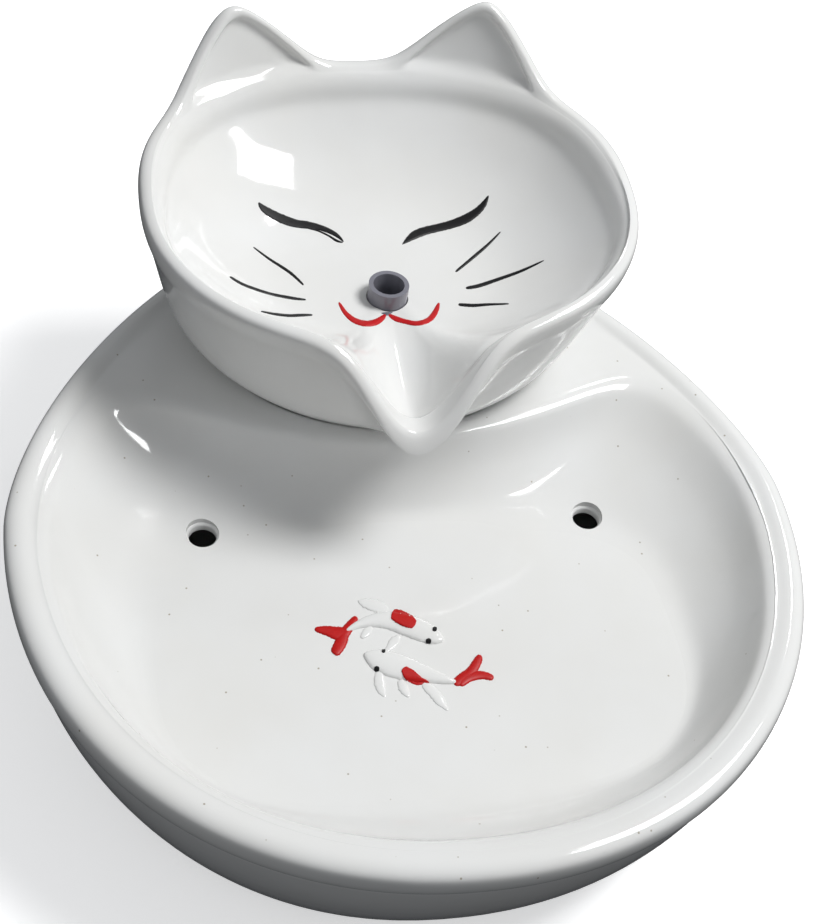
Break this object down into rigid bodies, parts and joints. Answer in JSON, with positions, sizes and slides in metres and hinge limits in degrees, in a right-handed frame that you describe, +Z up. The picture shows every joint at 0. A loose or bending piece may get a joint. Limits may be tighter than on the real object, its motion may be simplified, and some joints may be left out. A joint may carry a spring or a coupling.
{
  "type": "pet water fountain",
  "caption": "Glazed stoneware pet water fountain: cat-head bowl with nose outlet and pouring spout over an oval basin on a reservoir base, with a submersible pump inside.",
  "frame": {"origin": "on the table, under the middle of the fountain's footprint box", "axes": "+Z up, front with the spout towards -Y, X is the plane of symmetry's normal"},
  "size_m": [0.2402, 0.2775, 0.1352],
  "materials": {
    "glaze": "white gloss glaze",
    "pad_rubber": "matt black rubber",
    "hose_vinyl": "clear grey vinyl tube",
    "pump_plastic": "moulded black ABS",
    "slider_plastic": "moulded white acetal",
    "filter_foam": "open-cell foam",
    "magnet": "sintered ferrite",
    "shaft_ceramic": "ground alumina",
    "core_steel": "laminated steel",
    "coil_copper": "enamelled copper wire",
    "potting_resin": "cast epoxy"
  },
  "bodies": {
    "base": {"reservoir_base": "glaze", "base_pads": "pad_rubber", "cable_grommet": "pad_rubber", "pump_housing": "pump_plastic", "suction_cups": "pad_rubber", "riser_hose": "hose_vinyl", "cover_oring": "pad_rubber", "impeller_cover": "pump_plastic", "rotor_shaft": "shaft_ceramic", "shaft_bushes": "pad_rubber", "stator_core": "core_steel", "stator_coil": "coil_copper", "motor_potting": "potting_resin", "cable_gland": "pad_rubber"},
    "tray": {"basin_tray": "glaze"},
    "bowl": {"upper_bowl": "glaze"},
    "rotor": {"impeller": "slider_plastic", "rotor_magnet": "magnet"},
    "pump_cover": {"pump_front_cover": "pump_plastic", "intake_foam": "filter_foam"},
    "slider": {"flow_slider": "slider_plastic"}
  },
  "joints": [
    {"name": "tray_lift", "type": "slide", "parent": "base", "child": "tray", "axis": [0, 0, 1], "range_m": [0, 0.07]},
    {"name": "bowl_lift", "type": "slide", "parent": "tray", "child": "bowl", "axis": [0, 0, 1], "range_m": [0, 0.05]},
    {"name": "rotor_spin", "type": "hinge", "parent": "base", "child": "rotor", "pos_m": [0, 0.05245, 0.0266], "axis": [0, 1, 0], "continuous": true},
    {"name": "cover_pull", "type": "slide", "parent": "base", "child": "pump_cover", "axis": [0, -1, 0], "range_m": [0, 0.012]},
    {"name": "flow_slide", "type": "slide", "parent": "pump_cover", "child": "slider", "axis": [1, 0, 0], "range_m": [-0.004, 0.004]}
  ]
}
